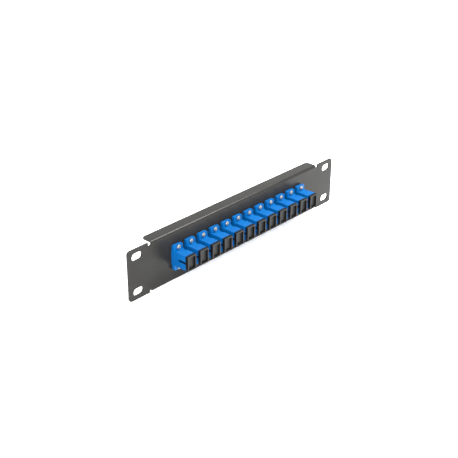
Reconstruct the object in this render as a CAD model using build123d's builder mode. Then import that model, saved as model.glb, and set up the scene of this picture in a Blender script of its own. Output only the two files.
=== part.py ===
from build123d import *
import os

# A fibre patch panel for a ten-inch rack: one folded steel sheet that carries a row of square
# push-pull fibre couplers, each with a dust cap in both ends.
# Millimetres. +X runs along the panel, +Y goes into the rack and +Z is up. The origin is on the
# panel's front face, at the centre of the four rack slots.

# Panel: its front sheet, the lips folded back along its top and bottom, and its two ears
sheet = 1.5
panel_width = 254.0
panel_height = 44.0
panel_depth = 11.3
bend_radius = 0.8
lip_corner_radius = 3.0
ear_width = 21.5
ear_corner_radius = 3.0
relief_width = 3.0
relief_depth = 3.25

# Rack slots, one in each corner of the panel, placed from its ends and from its long edges
slot_inset_x = 9.5
slot_inset_z = 6.75
slot_length = 10.2
slot_width = 6.3

# The row of couplers and the holes they need in the panel
coupler_count = 12
coupler_pitch = 14.0
cutout_clearance = 0.15

# Coupler housing: a flange on a slightly smaller seat against the panel, and an open shell in
# front of the flange and behind the panel
flange_thickness = 2.3
flange_width = 9.7
flange_height = 22.0
flange_corner = 1.0
seat_thickness = 1.05
seat_inset = 0.4
body_width = 9.4
body_height = 12.8
body_length = 12.75
waist_depth = 0.45
waist_length = 5.2

# The port through each shell, and the slot for the plug's key in its side
port_width = 7.45
port_height = 9.3
port_corner = 0.7
keyway_width = 2.2
keyway_length = 8.6

# Latch insert, one in each side of a coupler: a plate held in the flange, a barrel for the
# alignment sleeve, and two arms whose hooks hold the plug
insert_clearance = 0.05
plate_margin = 0.3
barrel_diameter = 4.9
barrel_length = 4.4
barrel_lip = 0.45
ferrule_hole = 2.7
arm_width = 4.4
arm_thickness = 0.75
arm_flex_gap = 0.6
arm_length = 7.2
hook_height = 0.9
hook_land = 0.5
hook_ramp = 1.0

# Alignment sleeve, a split ceramic tube shared by the two barrels of a coupler
sleeve_diameter = 3.2
sleeve_bore = 2.5
sleeve_slit = 0.4
sleeve_clearance = 0.05

# Dust cap: a rim on the mouth of the shell, dished in front, and a hollow plug in the port
rim_thickness = 2.3
rim_frame = 1.15
cap_floor = 0.4
plug_length = 5.0
plug_wall = 0.9
plug_clearance = 0.1

# Screws that hold the flanges to the panel, which is tapped for them
screw_spacing = 18.0
screw_diameter = 2.0
screw_length = 6.0
screw_head_diameter = 3.8
screw_head_height = 1.4
screw_hole_clearance = 0.15
thread_clearance = 0.02

# The small round forms repeat in every coupler, so they are drawn with flats around their radius
round_sides = 8

lip_length = panel_width - 2 * (ear_width + relief_width)
slot_spacing_x = panel_width - 2 * slot_inset_x
slot_spacing_z = panel_height - 2 * slot_inset_z
bend_outer_radius = bend_radius + sheet
flange_reach = flange_thickness + seat_thickness
plate_thickness = flange_reach / 2
plate_width = port_width + 2 * plate_margin
plate_height = port_height + 2 * plate_margin
barrel_reach = plate_thickness + barrel_length
arm_reach = plate_thickness + arm_length
arm_outside = port_height / 2 - arm_flex_gap
arm_inside = arm_outside - arm_thickness
sleeve_pocket = barrel_reach - barrel_lip

# Each side of a coupler is drawn on planes whose normals point out of its port
flange_front = Plane.XZ.offset(flange_reach)
flange_back = -Plane.XZ
middle_front = Plane.XZ.offset(plate_thickness)
middle_back = -middle_front
mouth_front = flange_front.offset(body_length)
mouth_back = flange_back.offset(body_length)

coupler_places = [
    ((number - (coupler_count - 1) / 2) * coupler_pitch, 0, 0) for number in range(coupler_count)
]


def small_round(diameter, mode=Mode.ADD):
    """A small round outline, with its flats on the diameter."""
    return RegularPolygon(diameter / 2, round_sides, major_radius=False, mode=mode)


def screw_places():
    """The places of all screws, on a plane that faces the front."""
    return GridLocations(coupler_pitch, screw_spacing, coupler_count, 2)


def port_shell(seat):
    """One open-ended shell of a housing, from its seat on the flange to its mouth."""
    with BuildPart() as shell:
        with BuildSketch(seat):
            Rectangle(body_width, body_height)
        extrude(amount=body_length)
        with BuildSketch(seat):
            Rectangle(body_width, body_height)
            Rectangle(body_width - 2 * waist_depth, body_height, mode=Mode.SUBTRACT)
        extrude(amount=waist_length, mode=Mode.SUBTRACT)
        with BuildSketch(seat) as port:
            Rectangle(port_width, port_height)
            chamfer(port.vertices(), port_corner)
        extrude(amount=body_length, mode=Mode.SUBTRACT)
        with BuildSketch(seat.offset(body_length)):
            with Locations((-body_width / 2, 0)):
                Rectangle(body_width, keyway_width)
        extrude(amount=-keyway_length, mode=Mode.SUBTRACT)
    return shell.part


def latch_insert(middle):
    """The moulding that guides and holds a plug, from the middle of the flange into one shell."""
    side = Plane(middle.origin, x_dir=middle.z_dir, z_dir=middle.z_dir.cross(Vector(0, 0, 1)))
    catch = arm_reach - hook_ramp - hook_land
    with BuildPart() as insert:
        with BuildSketch(middle):
            Rectangle(plate_width, plate_height)
        extrude(amount=plate_thickness)
        with BuildSketch(middle):
            small_round(barrel_diameter)
        extrude(amount=barrel_reach)
        with BuildSketch(side):
            with BuildLine():
                Polyline(
                    (0, arm_outside),
                    (arm_reach, arm_outside),
                    (arm_reach, arm_inside),
                    (arm_reach - hook_ramp, arm_inside - hook_height),
                    (catch, arm_inside - hook_height),
                    (catch, arm_inside),
                    (0, arm_inside),
                    close=True,
                )
            make_face()
            mirror(about=Plane.XZ)
        extrude(amount=arm_width / 2, both=True)
        with BuildSketch(middle):
            small_round(sleeve_diameter + 2 * sleeve_clearance)
        extrude(amount=sleeve_pocket, mode=Mode.SUBTRACT)
        with BuildSketch(middle):
            small_round(ferrule_hole)
        extrude(amount=barrel_reach, mode=Mode.SUBTRACT)
    return insert.part


def dust_cap(mouth):
    """A cap pushed into one mouth of a housing, with its hollow plug open towards the latch."""
    plug_width = port_width - 2 * plug_clearance
    plug_height = port_height - 2 * plug_clearance
    with BuildPart() as cap:
        with BuildSketch(mouth):
            Rectangle(body_width, body_height)
        extrude(amount=rim_thickness)
        with BuildSketch(mouth.offset(cap_floor)):
            Rectangle(body_width - 2 * rim_frame, body_height - 2 * rim_frame)
        extrude(amount=rim_thickness - cap_floor, mode=Mode.SUBTRACT)
        with BuildSketch(mouth) as plug:
            Rectangle(plug_width, plug_height)
            chamfer(plug.vertices(), port_corner)
            Rectangle(plug_width - 2 * plug_wall, plug_height - 2 * plug_wall, mode=Mode.SUBTRACT)
        extrude(amount=-plug_length)
    return cap.part


with BuildPart() as rack_panel:
    with BuildSketch(Plane.YZ):
        with BuildLine():
            FilletPolyline(
                (panel_depth, panel_height / 2),
                (0, panel_height / 2),
                (0, -panel_height / 2),
                (panel_depth, -panel_height / 2),
                radius=bend_outer_radius,
            )
            offset(amount=sheet, side=Side.LEFT)
        make_face()
    extrude(amount=lip_length / 2, both=True)
    lip_corners = rack_panel.edges().filter_by(Axis.Z).group_by(Axis.Y)[-1]
    fillet(lip_corners, lip_corner_radius)
    with BuildSketch(-Plane.XZ):
        RectangleRounded(panel_width, panel_height, ear_corner_radius)
        Rectangle(lip_length, panel_height, mode=Mode.SUBTRACT)
        with GridLocations(lip_length + relief_width, panel_height, 2, 2):
            SlotOverall(2 * relief_depth, relief_width, rotation=90, mode=Mode.SUBTRACT)
        with GridLocations(slot_spacing_x, slot_spacing_z, 2, 2):
            SlotOverall(slot_length, slot_width, mode=Mode.SUBTRACT)
    extrude(amount=sheet)
    with BuildSketch(-Plane.XZ):
        with Locations(*[(x, z) for x, _, z in coupler_places]):
            Rectangle(body_width + 2 * cutout_clearance, body_height + 2 * cutout_clearance)
        with screw_places():
            small_round(screw_diameter + 2 * thread_clearance)
    extrude(amount=sheet, mode=Mode.SUBTRACT)

with BuildPart() as front_moulding:
    with BuildSketch(flange_front) as flange:
        Rectangle(flange_width, flange_height)
        chamfer(flange.vertices(), flange_corner)
    extrude(amount=-flange_thickness)
    with BuildSketch(Plane.XZ) as seat:
        Rectangle(flange_width - 2 * seat_inset, flange_height - 2 * seat_inset)
        chamfer(seat.vertices(), flange_corner)
    extrude(amount=seat_thickness)
    with BuildSketch(flange_front):
        Rectangle(plate_width + 2 * insert_clearance, plate_height + 2 * insert_clearance)
        with GridLocations(0, screw_spacing, 1, 2):
            small_round(screw_diameter + 2 * screw_hole_clearance)
    extrude(amount=-flange_reach, mode=Mode.SUBTRACT)
    add(port_shell(flange_front))

rear_moulding = port_shell(flange_back)
front_cap = dust_cap(mouth_front)
rear_cap = dust_cap(mouth_back)

with BuildPart() as front_latch_inserts:
    with Locations(*coupler_places):
        add(latch_insert(middle_front))

with BuildPart() as rear_latch_inserts:
    with Locations(*coupler_places):
        add(latch_insert(middle_back))

with BuildPart() as alignment_sleeves:
    with BuildSketch(middle_front):
        with GridLocations(coupler_pitch, 0, coupler_count, 1):
            small_round(sleeve_diameter)
            small_round(sleeve_bore, mode=Mode.SUBTRACT)
            with Locations((0, sleeve_diameter / 2)):
                Rectangle(sleeve_slit, sleeve_diameter, mode=Mode.SUBTRACT)
    extrude(amount=sleeve_pocket - sleeve_clearance, both=True)

with BuildPart() as flange_screws:
    with BuildSketch(flange_front):
        with screw_places():
            small_round(screw_head_diameter)
    extrude(amount=screw_head_height)
    with BuildSketch(flange_front):
        with screw_places():
            small_round(screw_diameter)
    extrude(amount=-screw_length)

os.makedirs("parts", exist_ok=True)

for group, label in (
    (rack_panel, "rack_panel"),
    (front_latch_inserts, "front_latch_inserts"),
    (rear_latch_inserts, "rear_latch_inserts"),
    (alignment_sleeves, "alignment_sleeves"),
    (flange_screws, "flange_screws"),
):
    group.part.label = label
    export_step(group.part, f"parts/{label}.step")

for number, place in enumerate(coupler_places, start=1):
    for piece, label in (
        (front_moulding.part, "front_housing"),
        (rear_moulding, "rear_housing"),
        (front_cap, "front_dust_cap"),
        (rear_cap, "rear_dust_cap"),
    ):
        with BuildPart() as placed:
            with Locations(place):
                add(piece)
        placed.part.label = f"{label}_{number:02d}"
        export_step(placed.part, f"parts/{placed.part.label}.step")
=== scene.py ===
import math

import bmesh
import bpy
from mathutils import Matrix, Quaternion, Vector


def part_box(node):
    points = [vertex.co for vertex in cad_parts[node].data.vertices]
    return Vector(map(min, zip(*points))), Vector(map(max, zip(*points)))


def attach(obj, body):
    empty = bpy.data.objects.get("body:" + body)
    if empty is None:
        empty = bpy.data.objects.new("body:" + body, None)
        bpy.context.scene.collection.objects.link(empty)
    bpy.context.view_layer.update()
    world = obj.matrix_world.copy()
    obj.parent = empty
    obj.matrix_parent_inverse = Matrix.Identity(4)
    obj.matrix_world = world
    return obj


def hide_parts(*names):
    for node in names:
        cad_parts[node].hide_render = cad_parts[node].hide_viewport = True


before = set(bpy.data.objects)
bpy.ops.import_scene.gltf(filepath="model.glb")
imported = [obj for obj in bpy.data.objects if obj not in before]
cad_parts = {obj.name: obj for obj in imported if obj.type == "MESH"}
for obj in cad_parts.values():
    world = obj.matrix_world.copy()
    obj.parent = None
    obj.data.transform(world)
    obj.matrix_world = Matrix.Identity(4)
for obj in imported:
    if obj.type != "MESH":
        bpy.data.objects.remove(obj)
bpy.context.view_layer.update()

# Rack panel. One piece of sheet steel, punched flat with its coupler holes, tapped holes and rack
# slots, then folded back along its top and bottom edges. It is sprayed with dark grey powder and
# baked, which leaves a fine even grain and a soft edge wherever the sheet was cut.

panel_low, panel_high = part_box("rack_panel")
panel_half_width = panel_high.x
panel_half_height = panel_high.z
panel_depth = panel_high.y
sheet = 0.0015
bend_outer = 0.0023
bend_steps = 10
soft_cut = 0.00018
ear_width = 0.0215
ear_corner = 0.003
relief_width = 0.003
relief_depth = 0.00325
relief_lip = 0.0003
lip_corner = 0.003
rack_slot_gap = (0.235, 0.0305)
rack_slot_size = (0.0102, 0.0063)
coupler_count = 12
coupler_pitch = 0.014
body_width = 0.0094
body_height = 0.0128
cutout_clearance = 0.00015
cutout_corner = 0.0003
screw_gap = 0.018
screw_diameter = 0.002
same_point = 0.001
closing_gap = 1e-8
weld_gap = 1e-6
fold_gap = 1e-7
flats_weight = 50

row_start = -(coupler_count - 1) / 2 * coupler_pitch
coupler_numbers = range(1, coupler_count + 1)
ear_inside = panel_half_width - ear_width
lip_end = ear_inside - relief_width
fold_line = panel_half_height - bend_outer
bend_flat = bend_outer * math.pi / 2
flat_edge = fold_line + bend_flat + panel_depth - bend_outer


def rounded_outline(corners, steps=6):
    """The points round a closed outline, from its corners in order, each with its radius."""
    points = []
    for here, (corner, radius) in enumerate(corners):
        corner = Vector(corner)
        back = (Vector(corners[here - 1][0]) - corner).normalized()
        ahead = (Vector(corners[(here + 1) % len(corners)][0]) - corner).normalized()
        half_turn = back.angle(ahead) / 2
        inward = (back + ahead).normalized() / math.sin(half_turn)
        first = back / math.tan(half_turn) - inward
        last = ahead / math.tan(half_turn) - inward
        for step in range(steps + 1):
            point = corner + (inward + first.slerp(last, step / steps)) * radius
            if not points or (point - points[-1]).length > radius * same_point:
                points.append(point)
    if (points[0] - points[-1]).length < closing_gap:
        points.pop()
    return points


def rectangle(width, height, radius, x=0, z=0, steps=6):
    """The outline of a rectangle with rounded corners."""
    signs = ((-1, -1), (1, -1), (1, 1), (-1, 1))
    corners = [((x + i * width / 2, z + j * height / 2), radius) for i, j in signs]
    return rounded_outline(corners, steps)


def sheet_outline():
    """The outline of the flat sheet: two ears, and two lips between the four relief notches."""
    notch_floor = panel_half_height - relief_depth
    quarter = [
        ((panel_half_width, panel_half_height), ear_corner),
        ((ear_inside, panel_half_height), relief_lip),
        ((ear_inside, notch_floor), relief_width / 2),
        ((lip_end, notch_floor), relief_width / 2),
        ((lip_end, flat_edge), lip_corner),
    ]
    left = [((-x, z), radius) for (x, z), radius in reversed(quarter)]
    below = [((x, -z), radius) for (x, z), radius in reversed(quarter + left)]
    return rounded_outline(quarter + left + below)


def punched_holes():
    """The outlines of every hole in the panel."""
    holes = []
    for i in (-1, 1):
        for j in (-1, 1):
            x, z = i * rack_slot_gap[0] / 2, j * rack_slot_gap[1] / 2
            holes.append(rectangle(*rack_slot_size, rack_slot_size[1] / 2, x, z, steps=10))
    for number in range(coupler_count):
        x = row_start + number * coupler_pitch
        width = body_width + 2 * cutout_clearance
        height = body_height + 2 * cutout_clearance
        holes.append(rectangle(width, height, cutout_corner, x, 0, steps=3))
        for j in (-1, 1):
            z = j * screw_gap / 2
            holes.append(rectangle(screw_diameter, screw_diameter, screw_diameter / 2, x, z, steps=5))
    return holes


def punched_sheet():
    """The flat sheet with its holes, its cut edges slightly rounded."""
    curve = bpy.data.curves.new("flat_sheet", "CURVE")
    curve.dimensions = "2D"
    curve.fill_mode = "BOTH"
    curve.extrude = sheet / 2 - soft_cut
    curve.bevel_depth = soft_cut
    curve.bevel_resolution = 2
    curve.offset = -soft_cut
    outlines = [sheet_outline()] + [list(reversed(hole)) for hole in punched_holes()]
    for outline in outlines:
        spline = curve.splines.new("POLY")
        spline.points.add(len(outline) - 1)
        for point, place in zip(spline.points, outline):
            point.co = (place.x, place.y, 0, 1)
        spline.use_cyclic_u = True
    holder = bpy.data.objects.new("flat_sheet", curve)
    bpy.context.collection.objects.link(holder)
    mesh = bpy.data.meshes.new_from_object(
        holder.evaluated_get(bpy.context.evaluated_depsgraph_get())
    )
    bpy.data.objects.remove(holder)
    bpy.data.curves.remove(curve)
    return mesh


def folded(place):
    """Where a point of the flat sheet lies once both lips are folded back."""
    x, z, front = place
    depth = sheet / 2 - front
    beyond = abs(z) - fold_line
    if beyond <= 0 or abs(x) > (lip_end + ear_inside) / 2:
        return Vector((x, depth, z))
    turn = min(beyond / bend_outer, math.pi / 2)
    run = beyond - turn * bend_outer
    reach = bend_outer - depth
    y = bend_outer - reach * math.cos(turn) + run
    return Vector((x, y, math.copysign(fold_line + reach * math.sin(turn), z)))


def folded_panel():
    """The sheet folded into the panel, with a ring of short faces round each bend."""
    mesh = punched_sheet()
    work = bmesh.new()
    work.from_mesh(mesh)
    bmesh.ops.remove_doubles(work, verts=work.verts, dist=weld_gap)
    for step in range(bend_steps + 1):
        for side in (-1, 1):
            line = side * (fold_line + bend_flat * step / bend_steps)
            everything = work.verts[:] + work.edges[:] + work.faces[:]
            bmesh.ops.bisect_plane(
                work, geom=everything, dist=fold_gap, plane_co=(0, line, 0), plane_no=(0, 1, 0)
            )
    for vert in work.verts:
        vert.co = folded(vert.co)
    bmesh.ops.recalc_face_normals(work, faces=work.faces)
    work.to_mesh(mesh)
    work.free()
    return mesh


def shown(name, mesh):
    """Puts a mesh in the scene as a piece with smooth shading that keeps its flats flat."""
    mesh.shade_smooth()
    piece = bpy.data.objects.new(name, mesh)
    bpy.context.collection.objects.link(piece)
    flats = piece.modifiers.new("flat_faces_stay_flat", "WEIGHTED_NORMAL")
    flats.weight = flats_weight
    return piece


def grain_group():
    """Surface grain for every coated or moulded piece: height, roughness and a slow tone."""
    group = bpy.data.node_groups.new("surface_grain", "ShaderNodeTree")
    for name in ("Grains per metre", "Smoothest", "Roughest", "Patches per metre"):
        group.interface.new_socket(name, in_out="INPUT", socket_type="NodeSocketFloat")
    for name in ("Height", "Roughness", "Tone"):
        group.interface.new_socket(name, in_out="OUTPUT", socket_type="NodeSocketFloat")
    given = group.nodes.new("NodeGroupInput")
    made = group.nodes.new("NodeGroupOutput")
    place = group.nodes.new("ShaderNodeTexCoord")
    fine = group.nodes.new("ShaderNodeTexNoise")
    fine.inputs["Detail"].default_value = 3
    fine.inputs["Roughness"].default_value = 0.6
    slow = group.nodes.new("ShaderNodeTexNoise")
    slow.inputs["Detail"].default_value = 2
    spread = group.nodes.new("ShaderNodeMapRange")
    tone = group.nodes.new("ShaderNodeMapRange")
    tone.inputs["From Min"].default_value = 0.35
    tone.inputs["From Max"].default_value = 0.65
    group.links.new(place.outputs["Object"], fine.inputs["Vector"])
    group.links.new(place.outputs["Object"], slow.inputs["Vector"])
    group.links.new(given.outputs["Grains per metre"], fine.inputs["Scale"])
    group.links.new(given.outputs["Patches per metre"], slow.inputs["Scale"])
    group.links.new(fine.outputs["Fac"], spread.inputs["Value"])
    group.links.new(given.outputs["Smoothest"], spread.inputs["To Min"])
    group.links.new(given.outputs["Roughest"], spread.inputs["To Max"])
    group.links.new(slow.outputs["Fac"], tone.inputs["Value"])
    group.links.new(fine.outputs["Fac"], made.inputs["Height"])
    group.links.new(spread.outputs["Result"], made.inputs["Roughness"])
    group.links.new(tone.outputs["Result"], made.inputs["Tone"])
    return group


surface_grain = grain_group()


def grained(name, dark, light, grains, patches, smoothest, roughest, bump, bump_height):
    """A material whose colour wanders between two tones under a fine grain."""
    material = bpy.data.materials.new(name)
    material.use_nodes = True
    nodes, links = material.node_tree.nodes, material.node_tree.links
    shader = nodes["Principled BSDF"]
    grain = nodes.new("ShaderNodeGroup")
    grain.node_tree = surface_grain
    grain.inputs["Grains per metre"].default_value = grains
    grain.inputs["Patches per metre"].default_value = patches
    grain.inputs["Smoothest"].default_value = smoothest
    grain.inputs["Roughest"].default_value = roughest
    colour = nodes.new("ShaderNodeMix")
    colour.name = "colour"
    colour.data_type = "RGBA"
    colour.inputs["A"].default_value = (*dark, 1)
    colour.inputs["B"].default_value = (*light, 1)
    relief = nodes.new("ShaderNodeBump")
    relief.inputs["Strength"].default_value = bump
    relief.inputs["Distance"].default_value = bump_height
    links.new(grain.outputs["Tone"], colour.inputs["Factor"])
    links.new(colour.outputs["Result"], shader.inputs["Base Color"])
    links.new(grain.outputs["Roughness"], shader.inputs["Roughness"])
    links.new(grain.outputs["Height"], relief.inputs["Height"])
    links.new(relief.outputs["Normal"], shader.inputs["Normal"])
    return material, shader


powder_coat, powder_shader = grained(
    "powder_coat",
    dark=(0.0111, 0.0107, 0.0097),
    light=(0.0136, 0.0131, 0.012),
    grains=2600,
    patches=45,
    smoothest=0.24,
    roughest=0.34,
    bump=0.25,
    bump_height=0.00006,
)
powder_shader.inputs["Specular IOR Level"].default_value = 0.15

panel = shown("folded_panel", folded_panel())
panel.data.materials.append(powder_coat)
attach(panel, "root")
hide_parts("rack_panel")

# Coupler housings. Each is two halves moulded in blue plastic: the front half carries the flange,
# whose smaller seat lies on the panel, and the rear half passes through it. Both are open tubes for
# the plugs, with a slot for the plug's key in one side and two clip notches in the other.

flange_thickness = 0.0023
flange_width = 0.0097
flange_height = 0.022
flange_corner = 0.0011
seat_thickness = 0.00105
seat_inset = 0.0004
body_length = 0.0123
body_corner = 0.0003
notch_place = 0.0012
notch_length = 0.004
notch_depth = 0.0011
notch_height = 0.0014
notch_corner = 0.0002
port_width = 0.00745
port_height = 0.0093
port_corner = 0.0006
keyway_width = 0.0022
keyway_length = 0.00815
keyway_corner = 0.00044
plate_margin = 0.0003
insert_clearance = 0.00005
screw_clearance = 0.00015
moulded_edge = 0.00018
sharp_angle = math.radians(32)
touching = 1e-7
cut_past = 0.001
port_past = 0.0001

flange_face = -flange_thickness - seat_thickness
coupler_middle = flange_face / 2
mouth = flange_face - body_length
pocket_width = port_width + 2 * (plate_margin + insert_clearance)
pocket_height = port_height + 2 * (plate_margin + insert_clearance)
screw_hole = screw_diameter + 2 * screw_clearance


def prism(outline, low, high, along="Y"):
    """A closed solid with the given outline, from low to high along X or Y."""
    work = bmesh.new()
    rings = []
    for end in (low, high):
        if along == "Y":
            rings.append([work.verts.new((a, end, b)) for a, b in outline])
        else:
            rings.append([work.verts.new((end, a, b)) for a, b in outline])
    for ring in rings:
        work.faces.new(ring)
    for here in range(len(outline)):
        last = here - 1
        work.faces.new((rings[0][last], rings[0][here], rings[1][here], rings[1][last]))
    bmesh.ops.recalc_face_normals(work, faces=work.faces)
    mesh = bpy.data.meshes.new("prism")
    work.to_mesh(mesh)
    work.free()
    return mesh


def held(mesh):
    """A mesh on an object of its own while it is worked on."""
    holder = bpy.data.objects.new("work", mesh)
    bpy.context.collection.objects.link(holder)
    return holder


def settled(holder):
    """The plain mesh that an object's modifiers make; the object is then removed."""
    depsgraph = bpy.context.evaluated_depsgraph_get()
    mesh = bpy.data.meshes.new_from_object(holder.evaluated_get(depsgraph))
    bpy.data.objects.remove(holder)
    return mesh


def shaped(base, adds=(), cuts=()):
    """One solid, from a base with others joined to it and then others cut out of it."""
    for operation, tools in (("UNION", adds), ("DIFFERENCE", cuts)):
        for tool in tools:
            work = held(base)
            other = held(tool)
            step = work.modifiers.new("step", "BOOLEAN")
            step.operation = operation
            step.solver = "EXACT"
            step.object = other
            base = settled(work)
            bpy.data.objects.remove(other)
    return base


def softened(mesh, width, segments=2):
    """The mesh with every sharp edge rounded, as a mould leaves it."""
    work = held(mesh)
    merge = work.modifiers.new("merge", "WELD")
    merge.merge_threshold = touching
    rounding = work.modifiers.new("rounding", "BEVEL")
    rounding.width = width
    rounding.segments = segments
    rounding.limit_method = "ANGLE"
    rounding.angle_limit = sharp_angle
    rounding.use_clamp_overlap = True
    return settled(work)


def mirrored(mesh):
    """The same shape on the other side of the coupler's middle plane."""
    other = mesh.copy()
    flip = Matrix.Translation((0, 2 * coupler_middle, 0)) @ Matrix.Scale(-1, 4, (0, 1, 0))
    other.transform(flip)
    other.flip_normals()
    return other


def housing_half(with_flange):
    """The front half of a housing, with its flange or without it."""
    seat = coupler_middle if with_flange else flange_face
    shell = prism(rectangle(body_width, body_height, body_corner, steps=3), mouth, seat)
    adds = []
    cuts = []
    if with_flange:
        flange = rectangle(flange_width, flange_height, flange_corner)
        foot = rectangle(flange_width - 2 * seat_inset, flange_height - 2 * seat_inset, flange_corner)
        adds.append(prism(flange, flange_face, -seat_thickness))
        adds.append(prism(foot, -seat_thickness - flange_thickness / 2, 0))
        pocket = rectangle(pocket_width, pocket_height, port_corner)
        cuts.append(prism(pocket, flange_face, cut_past))
        for j in (-1, 1):
            hole = rectangle(screw_hole, screw_hole, screw_hole / 2, 0, j * screw_gap / 2)
            cuts.append(prism(hole, flange_face - cut_past, cut_past))
    notch_start = flange_face - notch_place
    for j in (-1, 1):
        corner = (body_width / 2, j * body_height / 2)
        notch = rectangle(2 * notch_depth, 2 * notch_height, notch_corner, *corner)
        cuts.append(prism(notch, notch_start - notch_length, notch_start))
    port = rectangle(port_width, port_height, port_corner, steps=4)
    cuts.append(prism(port, mouth - cut_past, flange_face + port_past))
    keyway = rectangle(body_width, keyway_width, keyway_corner, -body_width / 2, steps=3)
    cuts.append(prism(keyway, mouth - cut_past, mouth + keyway_length))
    return softened(shaped(shell, adds, cuts), moulded_edge)


def row_tree():
    """Geometry nodes that set copies of a piece in a straight row and give them their finish."""
    tree = bpy.data.node_groups.new("row_of_pieces", "GeometryNodeTree")
    tree.interface.new_socket("Piece", in_out="INPUT", socket_type="NodeSocketGeometry")
    tree.interface.new_socket("Count", in_out="INPUT", socket_type="NodeSocketInt")
    tree.interface.new_socket("First place", in_out="INPUT", socket_type="NodeSocketVector")
    tree.interface.new_socket("Step", in_out="INPUT", socket_type="NodeSocketVector")
    tree.interface.new_socket("Finish", in_out="INPUT", socket_type="NodeSocketMaterial")
    tree.interface.new_socket("Row", in_out="OUTPUT", socket_type="NodeSocketGeometry")
    given = tree.nodes.new("NodeGroupInput")
    made = tree.nodes.new("NodeGroupOutput")
    places = tree.nodes.new("GeometryNodeMeshLine")
    copies = tree.nodes.new("GeometryNodeInstanceOnPoints")
    solid = tree.nodes.new("GeometryNodeRealizeInstances")
    finish = tree.nodes.new("GeometryNodeSetMaterial")
    tree.links.new(given.outputs["Count"], places.inputs["Count"])
    tree.links.new(given.outputs["First place"], places.inputs["Start Location"])
    tree.links.new(given.outputs["Step"], places.inputs["Offset"])
    tree.links.new(places.outputs["Mesh"], copies.inputs["Points"])
    tree.links.new(given.outputs["Piece"], copies.inputs["Instance"])
    tree.links.new(copies.outputs["Instances"], solid.inputs["Geometry"])
    tree.links.new(solid.outputs["Geometry"], finish.inputs["Geometry"])
    tree.links.new(given.outputs["Finish"], finish.inputs["Material"])
    tree.links.new(finish.outputs["Geometry"], made.inputs["Row"])
    return tree


row_of_pieces = row_tree()


def in_row(mesh, count, first, step, finish):
    """The mesh of a row of copies."""
    work = held(mesh)
    row = work.modifiers.new("row", "NODES")
    row.node_group = row_of_pieces
    given = {"Count": count, "First place": first, "Step": step, "Finish": finish}
    for socket in row_of_pieces.interface.items_tree:
        if socket.name in given:
            row[socket.identifier] = given[socket.name]
    return settled(work)


def in_every_coupler(mesh, finish):
    """The mesh of twelve copies, one in each coupler."""
    return in_row(mesh, coupler_count, (row_start, 0, 0), (coupler_pitch, 0, 0), finish)


def numbered(label):
    """The twelve names of a piece, one for each coupler."""
    return [f"{label}_{number:02d}" for number in coupler_numbers]


blue_moulding, blue_shader = grained(
    "blue_moulding",
    dark=(0.0, 0.069, 0.229),
    light=(0.0, 0.077, 0.25),
    grains=1500,
    patches=120,
    smoothest=0.34,
    roughest=0.5,
    bump=0.12,
    bump_height=0.00003,
)
blue_shader.inputs["Specular IOR Level"].default_value = 0.17

front_half = housing_half(with_flange=True)
rear_half = mirrored(housing_half(with_flange=False))

front_housings = shown("front_housings", in_every_coupler(front_half, blue_moulding))
rear_housings = shown("rear_housings", in_every_coupler(rear_half, blue_moulding))
for piece, label in ((front_housings, "front_housing"), (rear_housings, "rear_housing")):
    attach(piece, "root")
    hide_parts(*numbered(label))

# Latch inserts. Each coupler holds two, back to back in its flange: a plate, a barrel that carries
# one end of the alignment sleeve, and two springy arms whose hooks snap over the plug. They are
# moulded in the same blue plastic and are trapped when the two housing halves are welded.

plate_thickness = coupler_middle - flange_face
plate_width = port_width + 2 * plate_margin
plate_height = port_height + 2 * plate_margin
barrel_radius = 0.00245
barrel_length = 0.0044
barrel_chamfer = 0.0004
ferrule_radius = 0.00135
pocket_radius = 0.00165
barrel_lip = 0.00045
arm_width = 0.0044
arm_flex_gap = 0.0006
arm_outside = port_height / 2 - arm_flex_gap
arm_thickness = 0.00075
arm_length = 0.0072
hook_height = 0.0009
hook_land = 0.0005
hook_ramp = 0.001
insert_edge = 0.00009
turned_steps = 32


def turned(profile, steps=turned_steps):
    """A solid turned about the Y axis, from points (radius, y) that start and end on the axis."""
    work = bmesh.new()
    rings = []
    for radius, y in profile:
        if radius == 0:
            rings.append([work.verts.new((0, y, 0))] * steps)
            continue
        angles = [2 * math.pi * step / steps for step in range(steps)]
        rings.append([work.verts.new((radius * math.cos(a), y, radius * math.sin(a))) for a in angles])
    for lower, upper in zip(rings, rings[1:]):
        for here in range(steps):
            corners = (lower[here - 1], lower[here], upper[here], upper[here - 1])
            work.faces.new(dict.fromkeys(corners))
    bmesh.ops.recalc_face_normals(work, faces=work.faces)
    mesh = bpy.data.meshes.new("turned")
    work.to_mesh(mesh)
    work.free()
    return mesh


def latch_insert():
    """The insert of the front side, from the coupler's middle plane towards the mouth."""
    tip = flange_face - barrel_length
    arm_tip = flange_face - arm_length
    plate = prism(rectangle(plate_width, plate_height, port_corner), flange_face, coupler_middle)
    inside = coupler_middle - plate_thickness / 2
    barrel = turned(
        (
            (0, tip),
            (barrel_radius - barrel_chamfer, tip),
            (barrel_radius, tip + barrel_chamfer),
            (barrel_radius, inside),
            (0, inside),
        )
    )
    adds = [barrel]
    for side in (-1, 1):
        hook_top = side * (arm_outside - arm_thickness - hook_height)
        inner = side * (arm_outside - arm_thickness)
        outer = side * arm_outside
        outline = (
            (inside, outer),
            (arm_tip, outer),
            (arm_tip, inner),
            (arm_tip + hook_ramp, hook_top),
            (arm_tip + hook_ramp + hook_land, hook_top),
            (arm_tip + hook_ramp + hook_land, inner),
            (inside, inner),
        )
        adds.append(prism(outline, -arm_width / 2, arm_width / 2, along="X"))
    pocket = turned(
        (
            (0, coupler_middle + cut_past),
            (pocket_radius, coupler_middle + cut_past),
            (pocket_radius, tip + barrel_lip),
            (0, tip + barrel_lip),
        )
    )
    bore = turned(
        (
            (0, coupler_middle),
            (ferrule_radius, coupler_middle),
            (ferrule_radius, tip - cut_past),
            (0, tip - cut_past),
        )
    )
    return softened(shaped(plate, adds, [pocket, bore]), insert_edge)


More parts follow.
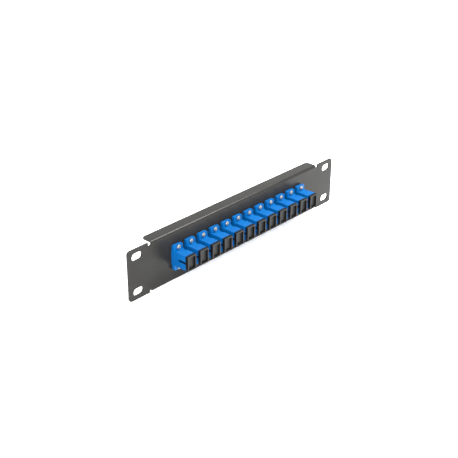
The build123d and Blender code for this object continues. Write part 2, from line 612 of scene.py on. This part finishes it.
front_insert = latch_insert()
rear_insert = mirrored(front_insert)
for mesh, label in ((front_insert, "front_latch_inserts"), (rear_insert, "rear_latch_inserts")):
    piece = shown(f"moulded_{label}", in_every_coupler(mesh, blue_moulding))
    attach(piece, "root")
    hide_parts(label)

# Alignment sleeves. A ground tube of white zirconia in each coupler, slit along its length so that
# it springs onto the two ferrules. It floats in the pockets of the two barrels.

sleeve_outer = 0.0016
sleeve_inner = 0.00125
sleeve_slit = 0.0004
sleeve_clearance = 0.00005
sleeve_edge = 0.00008
sleeve_steps = 44
sleeve_reach = plate_thickness + barrel_length - barrel_lip - sleeve_clearance


def split_sleeve():
    """A tube about the Y axis with a slit along its top."""
    middle = (sleeve_outer + sleeve_inner) / 2
    wall = sleeve_outer - sleeve_inner
    section = rectangle(wall, 2 * sleeve_reach, sleeve_edge, middle, coupler_middle, steps=2)
    half_slit = sleeve_slit / 2 / sleeve_outer
    work = bmesh.new()
    rings = []
    for step in range(sleeve_steps + 1):
        turn = math.pi / 2 + half_slit + (2 * math.pi - 2 * half_slit) * step / sleeve_steps
        ring = [work.verts.new((r * math.cos(turn), y, r * math.sin(turn))) for r, y in section]
        rings.append(ring)
    for lower, upper in zip(rings, rings[1:]):
        for here in range(len(section)):
            work.faces.new((lower[here - 1], lower[here], upper[here], upper[here - 1]))
    work.faces.new(rings[0])
    work.faces.new(rings[-1])
    bmesh.ops.recalc_face_normals(work, faces=work.faces)
    mesh = bpy.data.meshes.new("sleeve")
    work.to_mesh(mesh)
    work.free()
    return mesh


zirconia, zirconia_shader = grained(
    "zirconia",
    dark=(0.78, 0.77, 0.74),
    light=(0.86, 0.85, 0.82),
    grains=9000,
    patches=500,
    smoothest=0.12,
    roughest=0.22,
    bump=0.05,
    bump_height=0.000005,
)
zirconia_shader.inputs["Specular IOR Level"].default_value = 0.7

sleeves = shown("split_sleeves", in_every_coupler(split_sleeve(), zirconia))
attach(sleeves, "root")
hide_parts("alignment_sleeves")

# Flange screws. Two small pan-head machine screws hold each flange, in threads tapped in the panel.
# They are cold-headed and rolled in steel, then nickel plated, so they are nearly white.

head_radius = 0.0019
head_height = 0.0014
head_rim = 0.0004
head_fullness = 0.7
head_steps = 9
head_sides = 28
cross_span = 0.0018
cross_width = 0.00042
cross_depth = 0.0006
cross_corner = 0.000147
screw_reach = 0.006
thread_pitch = 0.0004
thread_depth = 0.00022
thread_rings = 60
point_length = 0.0003
point_share = 0.75


def screw_head():
    """A pan head with a cross recess, on the flange's face."""
    profile = [(0, flange_face - head_height)]
    for step in range(1, head_steps + 1):
        turn = math.pi / 2 * step / head_steps
        rise = head_rim + (head_height - head_rim) * math.cos(turn) ** head_fullness
        profile.append((head_radius * math.sin(turn), flange_face - rise))
    profile.append((head_radius, flange_face))
    profile.append((0, flange_face))
    head = turned(profile, head_sides)
    top = flange_face - head_height
    cuts = []
    for width, height in ((cross_span, cross_width), (cross_width, cross_span)):
        slot = rectangle(width, height, cross_corner, steps=3)
        cuts.append(prism(slot, top - cut_past, top + cross_depth))
    return shaped(head, cuts=cuts)


def threaded_shank():
    """A closed shank with a rolled thread that winds along it."""
    steps = head_sides
    work = bmesh.new()
    rings = []
    for ring in range(thread_rings + 1):
        along = screw_reach * ring / thread_rings
        vertices = []
        for here in range(steps):
            angle = 2 * math.pi * here / steps
            phase = (along / thread_pitch - here / steps) % 1
            groove = thread_depth * (1 - abs(2 * phase - 1))
            taper = min(1, (screw_reach - along) / point_length)
            radius = (screw_diameter / 2 - groove) * (point_share + (1 - point_share) * taper)
            place = (radius * math.cos(angle), flange_face + along, radius * math.sin(angle))
            vertices.append(work.verts.new(place))
        rings.append(vertices)
    for lower, upper in zip(rings, rings[1:]):
        for here in range(steps):
            work.faces.new((lower[here - 1], lower[here], upper[here], upper[here - 1]))
    work.faces.new(rings[0])
    work.faces.new(rings[-1])
    bmesh.ops.recalc_face_normals(work, faces=work.faces)
    mesh = bpy.data.meshes.new("shank")
    work.to_mesh(mesh)
    work.free()
    return mesh


def joined(*meshes):
    """Several meshes as one, each left as its own closed shell."""
    work = bmesh.new()
    for mesh in meshes:
        work.from_mesh(mesh)
    mesh = bpy.data.meshes.new("joined")
    work.to_mesh(mesh)
    work.free()
    return mesh


nickel, nickel_shader = grained(
    "nickel_plate",
    dark=(0.185, 0.196, 0.202),
    light=(0.245, 0.26, 0.266),
    grains=7000,
    patches=900,
    smoothest=0.3,
    roughest=0.45,
    bump=0.1,
    bump_height=0.00001,
)
nickel_shader.inputs["Metallic"].default_value = 0.75

one_screw = joined(screw_head(), threaded_shank())
screw_pair = in_row(one_screw, 2, (0, 0, -screw_gap / 2), (0, 0, screw_gap), nickel)
screws = shown("pan_head_screws", in_every_coupler(screw_pair, nickel))
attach(screws, "root")
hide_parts("flange_screws")

# Dust caps. One soft black moulding in each mouth of each coupler: a rim as large as the housing,
# dished on its outer face, and a hollow plug that grips the port. It pulls straight out. Its outer
# face is painted a lighter grey than its polished sides, a painted highlight for the light it catches.

rim_thickness = 0.00275
rim_frame = 0.00115
cap_floor = 0.00085
plug_length = 0.00455
plug_wall = 0.0009
plug_clearance = 0.0001
plug_corner = 0.0006
hollow_corner = 0.0003
cap_corner = 0.00035
cap_edge = 0.00015
facing_out = 0.9
# Painted highlight: the grey given to each cap's outer face, in place of the light that face catches.
painted_highlight_tone = (0.0125, 0.0125, 0.0123)


def dust_cap():
    """The cap of the front mouth, at the coupler in the middle of the panel."""
    face = mouth - rim_thickness
    plug_end = mouth + plug_length
    width = port_width - 2 * plug_clearance
    height = port_height - 2 * plug_clearance
    around = rectangle(body_width, body_height, cap_corner, steps=3)
    dished = rectangle(body_width - 2 * rim_frame, body_height - 2 * rim_frame, cap_corner, steps=3)
    outside = rectangle(width, height, plug_corner, steps=4)
    inside = rectangle(width - 2 * plug_wall, height - 2 * plug_wall, hollow_corner, steps=4)
    rim = prism(around, face, mouth)
    plug = prism(outside, mouth - cap_floor / 2, plug_end)
    dish = prism(dished, face - cut_past, mouth - cap_floor)
    hollow = prism(inside, mouth, plug_end + cut_past)
    return softened(shaped(rim, [plug], [dish, hollow]), cap_edge)


def mark_painted_highlight_faces(mesh, outward):
    """Marks the faces that point out of the mouth, which get the painted highlight."""
    marks = mesh.attributes.new("painted_highlight_face", "FLOAT", "FACE")
    for face in mesh.polygons:
        marks.data[face.index].value = float(face.normal.y * outward > facing_out)


cap_black, cap_shader = grained(
    "cap_black",
    dark=(0.003, 0.003, 0.003),
    light=(0.0045, 0.0045, 0.0045),
    grains=5000,
    patches=300,
    smoothest=0.3,
    roughest=0.42,
    bump=0.2,
    bump_height=0.00003,
)
cap_shader.inputs["Specular IOR Level"].default_value = 0.17


def paint_outer_face_highlight(material, shader):
    """Paints the marked outer face a lighter grey than the polished sides: a painted highlight."""
    nodes, links = material.node_tree.nodes, material.node_tree.links
    marks = nodes.new("ShaderNodeAttribute")
    marks.attribute_name = "painted_highlight_face"
    tone = nodes.new("ShaderNodeMix")
    tone.data_type = "RGBA"
    tone.inputs["B"].default_value = (*painted_highlight_tone, 1)
    links.new(nodes["colour"].outputs["Result"], tone.inputs["A"])
    links.new(marks.outputs["Fac"], tone.inputs["Factor"])
    links.new(tone.outputs["Result"], shader.inputs["Base Color"])


# Painted highlight: the caps' outer faces get a lighter grey than their sides.
paint_outer_face_highlight(cap_black, cap_shader)

front_cap_mesh = dust_cap()
rear_cap_mesh = mirrored(front_cap_mesh)
for side, mesh, outward in (("front", front_cap_mesh, -1), ("rear", rear_cap_mesh, 1)):
    for number in coupler_numbers:
        place = (row_start + (number - 1) * coupler_pitch, 0, 0)
        cap = in_row(mesh.copy(), 1, place, (0, 0, 0), cap_black)
        # Marks the faces that point out of the mouth, where the painted highlight goes.
        mark_painted_highlight_faces(cap, outward)
        piece = shown(f"{side}_cap_moulding_{number:02d}", cap)
        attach(piece, f"{side}_cap_{number:02d}")
        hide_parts(f"{side}_dust_cap_{number:02d}")

# Studio. The panel stands on a pale floor that glows faintly, with soft lights in front, at the
# left, behind and above its right end. The camera is at the left, a little above the panel.

floor_half = 6.0
floor_level = panel_low.z
floor_glow = 0.18


def studio_floor():
    """A flat floor with a faint mottle."""
    mesh = bpy.data.meshes.new("studio_floor")
    signs = ((-1, -1), (1, -1), (1, 1), (-1, 1))
    corners = [(i * floor_half, j * floor_half, floor_level) for i, j in signs]
    mesh.from_pydata(corners, [], [(0, 1, 2, 3)])
    floor = bpy.data.objects.new("studio_floor", mesh)
    bpy.context.collection.objects.link(floor)
    paint, shader = grained(
        "pale_floor",
        dark=(0.9, 0.9, 0.9),
        light=(0.94, 0.94, 0.94),
        grains=900,
        patches=3,
        smoothest=0.7,
        roughest=0.8,
        bump=0.02,
        bump_height=0.00005,
    )
    shader.inputs["Specular IOR Level"].default_value = 0.1
    shader.inputs["Emission Color"].default_value = (1, 1, 1, 1)
    shader.inputs["Emission Strength"].default_value = floor_glow
    mesh.materials.append(paint)
    return floor


def softbox(name, place, size, power, colour=(1, 1, 1)):
    """A square area light turned towards the middle of the panel."""
    light = bpy.data.lights.new(name, "AREA")
    light.shape = "SQUARE"
    light.size = size
    light.energy = power
    light.color = colour
    lamp = bpy.data.objects.new(name, light)
    lamp.location = place
    lamp.rotation_mode = "QUATERNION"
    lamp.rotation_quaternion = (-Vector(place)).to_track_quat("-Z", "Y")
    bpy.context.collection.objects.link(lamp)


def studio_world(strength):
    """Even white light from all round."""
    world = bpy.data.worlds.new("studio")
    world.use_nodes = True
    sky = world.node_tree.nodes["Background"]
    sky.inputs["Color"].default_value = (1, 1, 1, 1)
    sky.inputs["Strength"].default_value = strength
    bpy.context.scene.world = world


studio_floor()
softbox("key_softbox", place=(-0.6, -0.95, 0.75), size=0.7, power=26)
softbox("near_softbox", place=(0.24, -0.07, 0.43), size=0.2, power=4.1)
softbox("left_softbox", place=(-1.2, -0.6, 0.35), size=0.8, power=6.5, colour=(0.95, 0.97, 1))
softbox("rear_softbox", place=(-0.5, 1.2, 0.6), size=0.8, power=20)
studio_world(strength=1.4)

camera_azimuth = math.radians(-47.41)
camera_elevation = math.radians(26.86)
camera_roll = math.radians(0.11)
camera_distance = 0.7508
camera_target = Vector((-0.01472, 0, 0.00023))
camera_lens = 70.39

camera_back = Vector(
    (
        math.sin(camera_azimuth) * math.cos(camera_elevation),
        -math.cos(camera_azimuth) * math.cos(camera_elevation),
        math.sin(camera_elevation),
    )
)
camera = bpy.data.objects.new("camera", bpy.data.cameras.new("camera"))
camera.data.lens = camera_lens
camera.location = camera_target + camera_back * camera_distance
camera.rotation_mode = "QUATERNION"
upright = (-camera_back).to_track_quat("-Z", "Y")
camera.rotation_quaternion = upright @ Quaternion((0, 0, 1), camera_roll)
bpy.context.collection.objects.link(camera)
bpy.context.scene.camera = camera
bpy.context.scene.view_settings.view_transform = "Standard"
